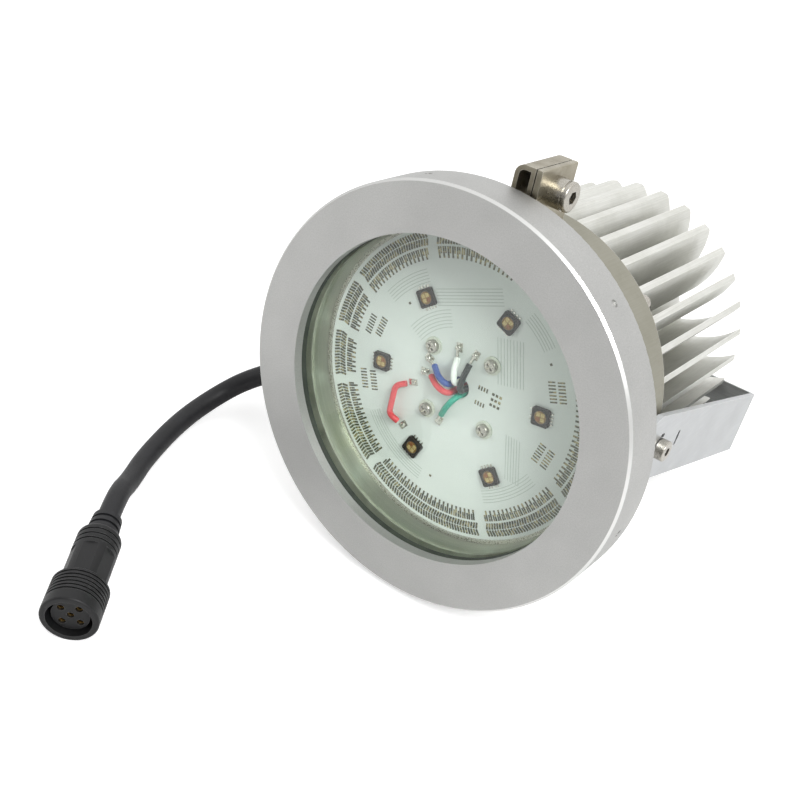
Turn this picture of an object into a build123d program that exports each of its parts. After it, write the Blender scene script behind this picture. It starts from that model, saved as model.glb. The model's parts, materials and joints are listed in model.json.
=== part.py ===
from build123d import *
import math
import os

# Underwater flood light: trim ring, glass, RGBW board, finned body, tilt bracket and pigtail.
# The head is drawn about its own optical axis: +Z runs from the trim ring to the fins,
# +X to the light's right hand pivot and +Y to its underside. place_head() stands it on
# the ground, front tilted up, with world +Z up and the light facing world -Y.

# ---- shared clearances
FACE_GAP = 0.3        # between faces that pass each other
RUN_GAP = 0.08        # radial play of a pivot
FIT_GAP = 0.1         # radial play of a screwed or slipped-in part

# ---- trim ring
RING_R = 75.0
RING_WALL = 11.0      # from the lens seat out to the ring's side
RING_LEDGE = 6.5      # how far the lip reaches in over the glass
RING_DEPTH = 18.0
RING_LIP = 4.0
RING_CHAMFER = 0.8
RING_REAR_ROUND = 0.8
SPANNER_HOLE_R = 1.3
SPANNER_HOLE_DEPTH = 1.0
SPANNER_HOLE_Z = 10.0
SPANNER_HOLES = 6
SPANNER_START = 11.3

# ---- lens stack
FRONT_GASKET_T = 2.5
GLASS_T = 6.0
REAR_GASKET_T = 1.5

# ---- housing
FLANGE_WIDTH = 4.0    # of the step clamped under the ring
FLANGE_DEPTH = 6.0
CUP_WALL = 2.2        # beside the board
BODY_WALL = 5.5       # behind the board
BOARD_DEPTH = 22.8    # board face behind the ring's face
HOUSING_REAR_Z = 41.0

# ---- led board
BOARD_T = 1.6
BOARD_GAP = 0.5
WIRE_HOLE_R = 4.0
LED_SIZE = 6.5
LED_T = 1.3
LED_CIRCLE_R = 33.0
LED_START = -8.1
LED_COUNT = 6
LED_WELL_R = 2.3
LED_WELL_DEPTH = 0.7
WINDOW_T = 0.5
LEG_COUNT = 4         # along each of two sides
LEG_PITCH = 1.3
LEG_W = 0.55
LEG_REACH = 1.1
LEG_T = 0.35
SEAT_RING_WIDTH = 1.3
SEAT_RING_T = 1.0
PAD_T = 0.3           # thermal pad

# ---- board screws
BOARD_SCREW_R = 1.5
BOARD_SCREW_LEN = 6.0
BOARD_HEAD_R = 2.4
BOARD_HEAD_T = 1.7
WASHER_R = 3.3
WASHER_T = 0.6
BOARD_SCREW_CIRCLE_R = 17.0
BOARD_SCREW_START = 37.5
BOARD_SCREWS = 4
CROSS_SLOT_W = 0.7
CROSS_SLOT_DEPTH = 0.9
CROSS_SLOT_LEN = 3.0

# ---- heat sink
SINK_PLATE_T = 5.3
SINK_CORE_R = 28.0
PILOT_DEPTH = 5.0
PILOT_WALL = 5.5
SINK_FLANGE_T = 15.0
SINK_FLOOR_T = 6.0    # left under the fins by the pocket in the flange
FIN_INSET = 6.0       # fin tips inside the housing's side
FIN_LENGTH = 87.0
FIN_T = 2.0
FIN_COUNT = 30
FIN_START = -3.3      # the first fin tip, degrees from the right hand side
FIN_SWEEP = 15.0      # how far round the core a fin's root lies from its tip, degrees
FIN_ROOT_BITE = 1.5
FIN_END_ROUND = 1.8
WIRE_WAY_R = 4.5
WIRE_WAY_DEEP = 3.9   # the axial wire hole ends this far past the gland's axis
O_RING_D = 2.0
O_RING_SQUEEZE = 0.05
O_RING_INSET = 2.5

# ---- body screws
BODY_SCREWS = 6
BODY_SCREW_R = 1.5
BODY_SCREW_LEN = 10.0  # in the housing
BODY_HEAD_R = 2.75
BODY_HEAD_T = 3.0
BODY_HEX_AF = 2.5
BODY_HEX_DEPTH = 1.5

# ---- band clamp
BAND_Z = 30.0
BAND_WIDTH = 20.0
BAND_T = 0.8
CLAMP_GAP = 0.4       # between the band's two ends
CLAMP_SHIFT = 8.3     # from the optical axis to the gap
CLAMP_WIDTH = 23.0    # of loop and lug, fore and aft
CLAMP_RISE = 22.4     # their top above the top of the housing
CLAMP_SCREW_LIFT = 14.2
CLAMP_SCREW_R = 2.5
CLAMP_HEAD_R = 5.2
CLAMP_HEAD_LEN = 6.6
CLAMP_GROOVE_W = 0.9
CLAMP_GROOVE_DEPTH = 0.5
CLAMP_GROOVE_AT = 4.4  # from the seat to the groove round the head
CLAMP_HEX_AF = 4.0
CLAMP_HEX_DEPTH = 3.5
CLAMP_NUT_T = 2.4
CLAMP_NUT_SIZE = 8.0
LOOP_WALL = 1.6
LOOP_WIDTH = 7.4
LOOP_ROUND = 3.6
LUG_T = 2.0

# ---- pivot and bracket
PIVOT_Z = 51.0
PIVOT_Y = 2.5         # below the optical axis
PIVOT_BOSS_R = 4.8
PIVOT_BOSS_LEN = 1.7
PIVOT_SCREW_R = 2.0
PIVOT_SCREW_BITE = 5.5
PIVOT_HEAD_R = 3.8
PIVOT_HEAD_T = 3.3
PIVOT_HEX_AF = 3.0
PIVOT_HEX_DEPTH = 2.0
BRACKET_T = 2.0
BRACKET_WIDTH = 25.0
WEB_ROOM = 13.0       # from the fins' ends to the outer face of the web
BRACKET_NOSE = 14.0    # pivot to the rounded front end of an arm
BRACKET_DROP = 13.9    # how far the arms point below the optical axis, degrees
BRACKET_BEND_R = 1.2   # inside radius of the bends
WEB_HOLE_R = 4.25
WEB_SIDE_HOLE_R = 3.25
WEB_HOLE_PITCH = 40.0
LOCK_SLOT_LEN = 6.0
LOCK_SLOT_W = 1.7
LOCK_SLOT_OUT = 17.4
LOCK_SLOT_UP = 2.0
MARK_SLOT_LEN = 3.2
MARK_SLOT_W = 1.4
MARK_SLOT_UP = 4.7

# ---- cable gland
GLAND_ANGLE = 155.0
GLAND_Z = 48.3
GLAND_BOSS_R = 7.0
GLAND_BOSS_LIFT = 3.0
GLAND_THREAD_R = 6.0
GLAND_HEX_AF = 15.0
GLAND_HEX_T = 4.5
GLAND_NUT_AF = 14.0
GLAND_NUT_LEN = 8.0
GLAND_COLLAR_R = 6.6
GLAND_COLLAR_LEN = 4.0
GLAND_SEAL_R = 5.4
GLAND_SEAL_LEN = 7.0
GLAND_STEM = 6.5

# ---- cable and leads
CABLE_R = 4.1
CABLE_BITE = 6.5      # where the jacket ends, from the optical axis
LEAD_R = 1.1
LEAD_RING_R = 2.7
LEAD_RISE = 4.4
LEAD_LAND = 0.3
LEAD_ELBOW_R = 2.6
LEAD_BARE = 3.6       # bare conductor from the end of a lead's sleeve to its pad
LEAD_CORE_R = 0.55
PAD_LEN = 3.4
PAD_WIDTH = 2.4
PAD_HEIGHT = 0.25
SOLDER_R = 1.1
SOLDER_HEIGHT = 1.7
GREEN_PAD_R = 16.2    # where each lead's pad lies, from the middle of the board
RED_PAD_R = 14.6
BLUE_PAD_R = 15.0
WHITE_PAD_R = 14.6
BLACK_PAD_R = 14.6
JUMPER_NEAR_R = 19.4
JUMPER_FAR_R = 30.6
JUMPER_RISE = 2.9
JUMPER_ASIDE = 1.9    # the jumper's ends lie beside the middle of their pads
JUMPER_START = 1.0
JUMPER_KNEE = 3.0
JUMPER_BOW = 3.4

# ---- connector
CONN_COLLAR_R = 10.2
CONN_COLLAR_LEN = 15.0
CONN_COLLAR_WALL = 2.2
CONN_THREAD_RIDGES = 6
CONN_THREAD_PITCH = 1.6
CONN_THREAD_DEPTH = 0.7
CONN_LIP_R = 0.8
CONN_BODY_R = 8.0
CONN_BODY_LEN = 25.0
CONN_BODY_GROOVES = 3
CONN_GROOVE_PITCH = 2.4
CONN_GROOVE_W = 0.8
CONN_GROOVE_DEPTH = 0.6
CONN_BOOT_R = 6.0
CONN_BOOT_END_R = 5.4
CONN_BOOT_LEN = 9.5
CONN_RIB_T = 1.2
CONN_RIB_DEPTH = 0.7
CONN_RIBS = 2
CONN_FLATS = 6
CONN_INSERT_R = 6.6
CONN_INSERT_SET = 2.2
CONN_INSERT_LEN = 11.0
CONN_PIN_R = 1.3
CONN_PIN_SET = 1.0
CONN_PIN_CIRCLE_R = 4.4
CONN_PINS_OUTER = 4
CONN_PIN_START = 45.0
SOCKET_BORE_R = 0.8
SOCKET_BORE_DEPTH = 6.0
CONN_X = -89.3
CONN_Y = -132.9
CONN_AIM = -55.7      # the way the connector points, degrees from world +X

# ---- the cable's route: runs at its two ends, and where it lies between them
CABLE_FIRST_RUN = 18.5
CABLE_LAST_RUN = 15.0
CABLE_LIES = [
    (-109.1, -37.3, 15.5), (-118.0, -48.8, 7.4), (-118.9, -69.1, 4.4),
    (-111.5, -94.8, 4.3), (-103.4, -110.1, 5.8)]

# ---- derived radii, from the ring inwards
LENS_SEAT_R = RING_R - RING_WALL
RING_BORE_R = LENS_SEAT_R - RING_LEDGE
HOUSING_R = LENS_SEAT_R - FLANGE_WIDTH
CUP_R = HOUSING_R - CUP_WALL
BODY_BORE_R = HOUSING_R - BODY_WALL
FIN_TIP_R = HOUSING_R - FIN_INSET

# ---- derived places along the optical axis
GASKET_Z = RING_LIP
GLASS_Z = GASKET_Z + FRONT_GASKET_T
REAR_GASKET_Z = GLASS_Z + GLASS_T
HOUSING_FRONT_Z = REAR_GASKET_Z + REAR_GASKET_T
BOARD_BACK_Z = BOARD_DEPTH + BOARD_T
SINK_FRONT_Z = BOARD_BACK_Z + PAD_T
SINK_FLANGE_Z = HOUSING_REAR_Z
FIN_Z = SINK_FLANGE_Z + SINK_FLANGE_T
FIN_END_Z = FIN_Z + FIN_LENGTH
BRACKET_REACH = FIN_END_Z - PIVOT_Z + WEB_ROOM  # pivot to the outer face of the web
POCKET_R = BODY_BORE_R - PILOT_WALL
POCKET_Z = FIN_Z - SINK_FLOOR_T
BODY_SCREW_CIRCLE_R = (HOUSING_R + BODY_BORE_R) / 2
ARM_IN_X = HOUSING_R + PIVOT_BOSS_LEN + FACE_GAP
ARM_OUT_X = ARM_IN_X + BRACKET_T
GLAND_FACE_R = HOUSING_R + GLAND_BOSS_LIFT
GLAND_NUT_R = GLAND_FACE_R + GLAND_HEX_T
GLAND_END_R = GLAND_NUT_R + GLAND_NUT_LEN + GLAND_COLLAR_LEN


# ---- helpers
def tube(outer, inner, z0, z1):
    """A ring of the optical axis from z0 to z1."""
    body = Pos(0, 0, z0) * Cylinder(outer, z1 - z0, align=(Align.CENTER, Align.CENTER, Align.MIN))
    if inner <= 0:
        return body
    bore = Pos(0, 0, z0) * Cylinder(inner, z1 - z0, align=(Align.CENTER, Align.CENTER, Align.MIN))
    return body - bore


def rod(radius, length):
    """A rod up +Z from the origin."""
    return Cylinder(radius, length, align=(Align.CENTER, Align.CENTER, Align.MIN))


def hexagon(across, length):
    """A hexagonal prism up +Z from the origin."""
    return extrude(RegularPolygon(across / math.sqrt(3), 6), length)


def on_circle(radius, angle, z):
    """The place at an angle round the optical axis, turned to face outwards."""
    return Rot(0, 0, angle) * Pos(radius, 0, z)


def radial(angle, z):
    """A frame whose +Z points out of the optical axis at an angle, its origin on the axis."""
    return Rot(0, 0, angle) * Pos(0, 0, z) * Rot(0, 90, 0)


def cap_screw(head_r, head_t, hex_af, hex_depth, shank_r, shank_len):
    """A socket cap screw: the head stands up +Z from the origin and the shank hangs below."""
    head = rod(head_r, head_t)
    head = fillet(head.edges().group_by(Axis.Z)[-1], head_t / 8)
    head -= Pos(0, 0, head_t - hex_depth) * hexagon(hex_af, hex_depth)
    return head + Pos(0, 0, -shank_len) * rod(shank_r, shank_len)


def wire_path(points, radii):
    """Straight runs joined by tangent arcs."""
    return FilletPolyline(*points, radius=radii)


def sweep_round(path, radius):
    """A round rod along a path."""
    start = Plane(origin=path @ 0, z_dir=path % 0)
    return sweep(start * Circle(radius), path=path)


def bend_radii(points):
    """0.45 of the shorter run at each corner, over the tangent of half the turn."""
    radii = []
    for a, b, c in zip(points, points[1:], points[2:]):
        turn = (b - a).get_angle(c - b)
        radii.append(0.45 * min((b - a).length, (c - b).length) / math.tan(math.radians(turn / 2)))
    return radii


# ---- trim ring
def make_trim_ring():
    body = rod(RING_R, RING_DEPTH)
    body = chamfer(body.edges().group_by(Axis.Z)[0], RING_CHAMFER)
    body = fillet(body.edges().group_by(Axis.Z)[-1], RING_REAR_ROUND)
    body -= rod(RING_BORE_R, RING_DEPTH)
    body -= Pos(0, 0, RING_LIP) * rod(LENS_SEAT_R, RING_DEPTH - RING_LIP)
    for i in range(SPANNER_HOLES):
        hole = radial(SPANNER_START + 360 / SPANNER_HOLES * i, SPANNER_HOLE_Z)
        body -= hole * Pos(0, 0, RING_R - SPANNER_HOLE_DEPTH) * rod(SPANNER_HOLE_R, RING_DEPTH)
    return body


# ---- housing: flange under the ring and thick walled barrel
def make_housing():
    body = tube(HOUSING_R, 0, HOUSING_FRONT_Z, HOUSING_REAR_Z)
    body += tube(LENS_SEAT_R - FIT_GAP, 0, HOUSING_FRONT_Z, HOUSING_FRONT_Z + FLANGE_DEPTH)
    body -= tube(CUP_R, 0, HOUSING_FRONT_Z, BOARD_BACK_Z)
    body -= tube(BODY_BORE_R, 0, BOARD_BACK_Z, HOUSING_REAR_Z)
    for i in range(BODY_SCREWS):
        spot = on_circle(BODY_SCREW_CIRCLE_R, body_screw_angle(i), HOUSING_REAR_Z - BODY_SCREW_LEN)
        body -= spot * rod(BODY_SCREW_R, BODY_SCREW_LEN)
    return body


def body_screw_angle(i):
    """The screws stand half way between two fin tips, clear of the pivots and the gland."""
    pitch = 360 / FIN_COUNT
    return FIN_START + 1.5 * pitch + 360 / BODY_SCREWS * i


def pivot_line(side):
    """A frame on the tilt axis whose +Z points out of one side of the head."""
    return Pos(0, PIVOT_Y, 0) * radial(side, PIVOT_Z)


# ---- heat sink: board plate, core, sealed pilot, flange with pivot and gland bosses, swept fins
def make_heat_sink():
    root_r = SINK_CORE_R - FIN_ROOT_BITE
    root_angle = math.radians(FIN_SWEEP)
    root = (root_r * math.cos(root_angle), root_r * math.sin(root_angle))
    leave = (math.cos(root_angle), math.sin(root_angle))
    line = TangentArc(root, (FIN_TIP_R + FIN_T, 0), tangent=leave)
    blade = trace(line, line_width=FIN_T)
    section = Circle(SINK_CORE_R)
    section += [Rot(0, 0, FIN_START + 360 / FIN_COUNT * i) * blade for i in range(FIN_COUNT)]
    fins = Pos(0, 0, FIN_Z) * extrude(section, FIN_LENGTH)
    limit = rod(FIN_TIP_R, FIN_END_Z)
    fins &= fillet(limit.edges().group_by(Axis.Z)[-1], FIN_END_ROUND)

    bore_r = BODY_BORE_R - FIT_GAP
    body = tube(bore_r, 0, SINK_FRONT_Z, SINK_FRONT_Z + SINK_PLATE_T)
    body += tube(SINK_CORE_R, 0, SINK_FRONT_Z, SINK_FLANGE_Z)
    body += tube(bore_r, 0, SINK_FLANGE_Z - PILOT_DEPTH, SINK_FLANGE_Z)
    body += tube(HOUSING_R, 0, SINK_FLANGE_Z, FIN_Z)
    body -= tube(POCKET_R, SINK_CORE_R, SINK_FLANGE_Z - PILOT_DEPTH, POCKET_Z)
    for side in (0, 180):
        body += pivot_line(side) * Pos(0, 0, BODY_BORE_R) * rod(PIVOT_BOSS_R, BODY_WALL + PIVOT_BOSS_LEN)
    body += radial(GLAND_ANGLE, GLAND_Z) * Pos(0, 0, BODY_BORE_R) * rod(GLAND_BOSS_R, BODY_WALL + GLAND_BOSS_LIFT)
    groove_z = SINK_FLANGE_Z - O_RING_INSET - O_RING_D / 2 - O_RING_SQUEEZE
    groove_r = BODY_BORE_R - O_RING_D - O_RING_SQUEEZE
    body -= tube(HOUSING_R, groove_r, groove_z, groove_z + O_RING_D + 2 * O_RING_SQUEEZE)
    body -= Pos(0, 0, SINK_FRONT_Z) * rod(WIRE_HOLE_R, GLAND_Z + WIRE_WAY_DEEP - SINK_FRONT_Z)
    body -= radial(GLAND_ANGLE, GLAND_Z) * rod(WIRE_WAY_R, HOUSING_R)
    stem = GLAND_BOSS_LIFT + GLAND_STEM
    body -= radial(GLAND_ANGLE, GLAND_Z) * Pos(0, 0, GLAND_FACE_R - stem) * rod(GLAND_THREAD_R, stem)
    deep = HOUSING_R + PIVOT_BOSS_LEN - PIVOT_SCREW_BITE
    for side in (0, 180):
        body -= pivot_line(side) * Pos(0, 0, deep) * rod(PIVOT_SCREW_R, PIVOT_SCREW_BITE)
    for spot in board_screw_spots(SINK_FRONT_Z):
        body -= spot * rod(BOARD_SCREW_R, BOARD_SCREW_LEN)
    for i in range(BODY_SCREWS):
        spot = on_circle(BODY_SCREW_CIRCLE_R, body_screw_angle(i), SINK_FLANGE_Z)
        body -= spot * rod(BODY_SCREW_R + FIT_GAP, SINK_FLANGE_T)
    body += fins
    for i in range(BODY_SCREWS):
        spot = on_circle(BODY_SCREW_CIRCLE_R, body_screw_angle(i), FIN_Z)
        body -= spot * rod(BODY_HEAD_R + FACE_GAP, BODY_HEAD_T + FACE_GAP)
    return body


# ---- board and what stands on it
def make_board():
    body = tube(CUP_R - BOARD_GAP, WIRE_HOLE_R, BOARD_DEPTH, BOARD_BACK_Z)
    for spot in board_screw_spots(BOARD_DEPTH):
        body -= spot * rod(BOARD_SCREW_R + FIT_GAP, BOARD_T)
    return body


def make_thermal_pad():
    body = tube(BODY_BORE_R - FIT_GAP, WIRE_HOLE_R, BOARD_BACK_Z, SINK_FRONT_Z)
    for spot in board_screw_spots(BOARD_BACK_Z):
        body -= spot * rod(BOARD_SCREW_R + FIT_GAP, PAD_T)
    return body


def make_led():
    """One package, its light side at z = -LED_T."""
    body = Pos(0, 0, -LED_T) * Box(LED_SIZE, LED_SIZE, LED_T, align=(Align.CENTER, Align.CENTER, Align.MIN))
    body = chamfer(body.edges().filter_by(Axis.Z), LED_SIZE / 12)
    return body - Pos(0, 0, -LED_T) * rod(LED_WELL_R, LED_WELL_DEPTH)


def led_spots():
    spots = []
    for i in range(LED_COUNT):
        spots.append(on_circle(LED_CIRCLE_R, LED_START + 360 / LED_COUNT * i, BOARD_DEPTH))
    return spots


def make_legs():
    """The tabs that solder one package down, along two of its sides."""
    legs = []
    for side in (-1, 1):
        for i in range(LEG_COUNT):
            y = LEG_PITCH * (i - (LEG_COUNT - 1) / 2)
            leg = Box(LEG_REACH, LEG_W, LEG_T, align=(Align.MIN, Align.CENTER, Align.MAX))
            legs.append(Rot(0, 0, 90 - 90 * side) * Pos(LED_SIZE / 2, y, 0) * leg)
    return legs


def board_screw_spots(z):
    step = 360 / BOARD_SCREWS
    return [on_circle(BOARD_SCREW_CIRCLE_R, BOARD_SCREW_START + step * i, z) for i in range(BOARD_SCREWS)]


def make_washer():
    return Pos(0, 0, -WASHER_T) * (rod(WASHER_R, WASHER_T) - rod(BOARD_SCREW_R + FIT_GAP, WASHER_T))


def make_board_screw():
    """A pan head screw on its washer, head up -Z from the board face."""
    head = Pos(0, 0, -BOARD_HEAD_T) * rod(BOARD_HEAD_R, BOARD_HEAD_T)
    head = fillet(head.edges().group_by(Axis.Z)[0], BOARD_HEAD_T * 0.45)
    slot = Box(CROSS_SLOT_LEN, CROSS_SLOT_W, CROSS_SLOT_DEPTH, align=(Align.CENTER, Align.CENTER, Align.MIN))
    for turn in (0, 90):
        head -= Rot(0, 0, turn) * Pos(0, 0, -BOARD_HEAD_T) * slot
    return Pos(0, 0, -WASHER_T) * (head + rod(BOARD_SCREW_R, BOARD_SCREW_LEN - FACE_GAP))


# ---- leads: where each lands on the board, radius and angle
LEADS = {
    "green": (GREEN_PAD_R, 106.0),
    "red": (RED_PAD_R, 178.5),
    "blue": (BLUE_PAD_R, -159.5),
    "white": (WHITE_PAD_R, -104.0),
    "black": (BLACK_PAD_R, -76.5),
}
LEADS_PHASE = -82.0   # the first lead's place round the wire hole
JUMPER_FROM = (JUMPER_NEAR_R, 160.0)
JUMPER_TO = (JUMPER_FAR_R, 127.0)


def polar(radius, angle, z):
    turn = math.radians(angle)
    return Vector(radius * math.cos(turn), radius * math.sin(turn), z)


def make_lead(index, radius, angle):
    """From the jacket's end round the corner, up the wire hole and over to its pad."""
    phase = LEADS_PHASE - 360 / len(LEADS) * index
    side = LEAD_RING_R * math.sin(math.radians(phase))
    deep = LEAD_RING_R * math.cos(math.radians(phase))
    out = polar(1, GLAND_ANGLE, 0)
    across = polar(1, GLAND_ANGLE + 90, 0)
    up = Vector(0, 0, 1)
    start = out * CABLE_BITE + across * side + up * (GLAND_Z + deep)
    corner = out * -deep + across * side + up * (GLAND_Z + deep)
    mouth = out * -deep + across * side + up * (BOARD_DEPTH - LEAD_RISE)
    land = polar(radius - LEAD_BARE, angle, BOARD_DEPTH - LEAD_LAND - LEAD_R)
    over = Vector((land.X + mouth.X) / 2, (land.Y + mouth.Y) / 2, BOARD_DEPTH - LEAD_RISE)
    bends = [LEAD_ELBOW_R]
    for a, b, c in ((corner, mouth, over), (mouth, over, land)):
        turn = (b - a).get_angle(c - b)
        bends.append(0.48 * min((b - a).length, (c - b).length) / math.tan(math.radians(turn / 2)))
    return sweep_round(wire_path([start, corner, mouth, over, land], bends), LEAD_R)


def make_jumper():
    height = BOARD_DEPTH - LEAD_LAND - LEAD_R
    ends = [polar(radius, angle, height) for radius, angle in (JUMPER_FROM, JUMPER_TO)]
    along = (ends[1] - ends[0]).normalized()
    sideways = Vector(-along.Y, along.X, 0)
    a = ends[0] + along * JUMPER_START + sideways * JUMPER_ASIDE
    b = ends[1] - along * JUMPER_START + sideways * JUMPER_ASIDE
    rise = Vector(0, 0, LEAD_LAND + LEAD_R - JUMPER_RISE)
    aside = sideways * (JUMPER_ASIDE + JUMPER_BOW)
    knees = [ends[0] + along * JUMPER_KNEE + aside + rise, ends[1] - along * JUMPER_KNEE + aside + rise]
    radii = bend_radii([a, *knees, b])
    return sweep_round(wire_path([a, *knees, b], radii), LEAD_R)


def make_pads():
    """Each pad with its drop of solder, and the bare end of the lead where there is one."""
    drop = Pos(0, 0, -SOLDER_HEIGHT) * rod(SOLDER_R, SOLDER_HEIGHT)
    drop = fillet(drop.edges().group_by(Axis.Z)[0], SOLDER_R * 0.6)
    pad = Box(PAD_LEN, PAD_WIDTH, PAD_HEIGHT, align=(Align.CENTER, Align.CENTER, Align.MAX))
    core = Pos(0, 0, -LEAD_LAND - LEAD_R) * Rot(0, -90, 0) * rod(LEAD_CORE_R, LEAD_BARE - 2 * FACE_GAP)
    pads = [on_circle(radius, angle, BOARD_DEPTH) * (pad + drop + core) for radius, angle in LEADS.values()]
    for radius, angle in (JUMPER_FROM, JUMPER_TO):
        pads.append(on_circle(radius, angle, BOARD_DEPTH) * (pad + Pos(0, 0, SOLDER_HEIGHT / 2) * drop))
    return [p - Pos(0, 0, BOARD_DEPTH) * rod(RING_BORE_R, SOLDER_HEIGHT) for p in pads]


# ---- band clamp
CLAMP_SEAT = HOUSING_R + FIT_GAP + BAND_T
CLAMP_TOP = HOUSING_R + CLAMP_RISE
CLAMP_LINE = HOUSING_R + CLAMP_SCREW_LIFT
CLAMP_Z = BAND_Z + (CLAMP_WIDTH - BAND_WIDTH) / 2
LOOP_RIGHT = -CLAMP_GAP / 2
LOOP_LEFT = LOOP_RIGHT - LOOP_WIDTH
LUG_OUT = CLAMP_GAP / 2 + LUG_T


def make_band():
    band = tube(CLAMP_SEAT, HOUSING_R + FIT_GAP, BAND_Z - BAND_WIDTH / 2, BAND_Z + BAND_WIDTH / 2)
    gap = Box(CLAMP_GAP, RING_R, FIN_Z, align=(Align.CENTER, Align.MAX, Align.MIN))
    return band - Pos(CLAMP_SHIFT, 0, 0) * gap


def clamp_frame():
    """The clamp's frame at the gap: +X along the screw, +Y up from the optical axis, +Z to the ring."""
    return Pos(CLAMP_SHIFT, 0, CLAMP_Z) * Rot(180, 0, 0)


def seat_at(x):
    """Height of the band's outside at a distance from the gap."""
    return math.sqrt(CLAMP_SEAT ** 2 - (CLAMP_SHIFT + x) ** 2)


def screw_way(radius, x0, x1):
    """A rod on the clamp screw's line from x0 to x1."""
    return Pos(x0, CLAMP_LINE, 0) * Rot(0, 90, 0) * rod(radius, x1 - x0)


def make_clamp_loop():
    """A strap folded into an eye at the band's left end, open fore and aft."""
    base = seat_at(LOOP_LEFT)
    high = CLAMP_TOP - base
    place = Pos((LOOP_LEFT + LOOP_RIGHT) / 2, base + high / 2)
    outer = Rectangle(LOOP_WIDTH, high)
    outer = fillet(outer.vertices().group_by(Axis.X)[0], LOOP_ROUND)
    inner = Rectangle(LOOP_WIDTH - 2 * LOOP_WALL, high - 2 * LOOP_WALL)
    inner = fillet(inner.vertices().group_by(Axis.X)[0], LOOP_ROUND - LOOP_WALL)
    strap = extrude(place * (outer - inner), CLAMP_WIDTH / 2, both=True)
    return strap - screw_way(CLAMP_SCREW_R + FIT_GAP, LOOP_RIGHT - LOOP_WIDTH / 2, LOOP_RIGHT)


def make_clamp_lug():
    """The band's right end, turned up beside the loop."""
    foot = seat_at(CLAMP_GAP / 2)
    plate = Box(LUG_T, CLAMP_TOP - foot, CLAMP_WIDTH, align=(Align.MIN, Align.MIN, Align.CENTER))
    lug = Pos(CLAMP_GAP / 2, foot, 0) * plate
    lug = fillet(lug.edges().filter_by(Axis.Z).group_by(Axis.Y)[-1].sort_by(Axis.X)[-1], LUG_T / 4)
    return lug - screw_way(CLAMP_SCREW_R + FIT_GAP, CLAMP_GAP / 2, LUG_OUT)


def make_clamp_nut():
    """The square nut inside the loop."""
    inside = LOOP_RIGHT - LOOP_WALL - FIT_GAP
    nut = Box(CLAMP_NUT_T, CLAMP_NUT_SIZE, CLAMP_NUT_SIZE, align=(Align.MAX, Align.CENTER, Align.CENTER))
    return Pos(inside, CLAMP_LINE, 0) * nut - screw_way(CLAMP_SCREW_R, inside - CLAMP_NUT_T, inside)


def make_clamp_screw():
    reach = LUG_OUT - LOOP_RIGHT + LOOP_WALL + FIT_GAP + CLAMP_NUT_T + CLAMP_SCREW_R / 2
    screw = cap_screw(CLAMP_HEAD_R, CLAMP_HEAD_LEN, CLAMP_HEX_AF, CLAMP_HEX_DEPTH, CLAMP_SCREW_R, reach)
    screw -= tube(2 * CLAMP_HEAD_R, CLAMP_HEAD_R - CLAMP_GROOVE_DEPTH, CLAMP_GROOVE_AT, CLAMP_GROOVE_AT + CLAMP_GROOVE_W)
    return Pos(LUG_OUT, CLAMP_LINE, 0) * Rot(0, 90, 0) * screw


# ---- bracket: a folded U, drawn with its arms along +Z from the pivot
def make_bracket():
    bend_out = BRACKET_BEND_R + BRACKET_T
    outer = Pos(0, BRACKET_REACH / 2) * Rectangle(2 * ARM_OUT_X, BRACKET_REACH)
    outer = fillet(outer.vertices().group_by(Axis.Y)[-1], bend_out)
    inner_reach = BRACKET_REACH - BRACKET_T
    inner = Pos(0, inner_reach / 2) * Rectangle(2 * ARM_IN_X, inner_reach)
    inner = fillet(inner.vertices().group_by(Axis.Y)[-1], BRACKET_BEND_R)
    strip = extrude(outer - inner, BRACKET_WIDTH / 2, both=True)
    body = Rot(90, 0, 0) * strip
    nose_y = BRACKET_WIDTH / 2
    for side in (-1, 1):
        plate = Box(BRACKET_T, BRACKET_WIDTH, BRACKET_NOSE, align=(Align.CENTER, Align.CENTER, Align.MAX))
        plate = fillet(plate.edges().filter_by(Axis.X).group_by(Axis.Z)[0], nose_y * 0.6)
        body += Pos(side * (ARM_IN_X + BRACKET_T / 2), 0, 0) * plate
    through = Rot(0, 90, 0) * Cylinder(PIVOT_SCREW_R + RUN_GAP, 3 * ARM_OUT_X)
    body -= through
    lock = SlotOverall(LOCK_SLOT_LEN, LOCK_SLOT_W, rotation=90)
    body -= Pos(0, -LOCK_SLOT_UP, LOCK_SLOT_OUT) * Rot(0, 90, 0) * extrude(lock, 2 * ARM_OUT_X, both=True)
    mark = Rot(0, 90, 0) * extrude(SlotOverall(MARK_SLOT_LEN, MARK_SLOT_W), 2 * ARM_OUT_X, both=True)
    body -= Pos(0, -MARK_SLOT_UP, 0) * mark
    body -= Pos(0, 0, BRACKET_REACH - 2 * BRACKET_T) * rod(WEB_HOLE_R, 3 * BRACKET_T)
    for side in (-1, 1):
        spot = Pos(side * WEB_HOLE_PITCH, 0, BRACKET_REACH - 2 * BRACKET_T)
        body -= spot * rod(WEB_SIDE_HOLE_R, 3 * BRACKET_T)
    return Pos(0, PIVOT_Y, PIVOT_Z) * Rot(-BRACKET_DROP, 0, 0) * body


# ---- gland
def make_gland_body():
    stem = Pos(0, 0, GLAND_FACE_R - GLAND_BOSS_LIFT - GLAND_STEM)
    body = stem * rod(GLAND_THREAD_R, GLAND_STEM + GLAND_BOSS_LIFT)
    body += Pos(0, 0, GLAND_FACE_R) * hexagon(GLAND_HEX_AF, GLAND_HEX_T)
    body -= rod(CABLE_R + FIT_GAP, GLAND_END_R)
    return body


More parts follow.
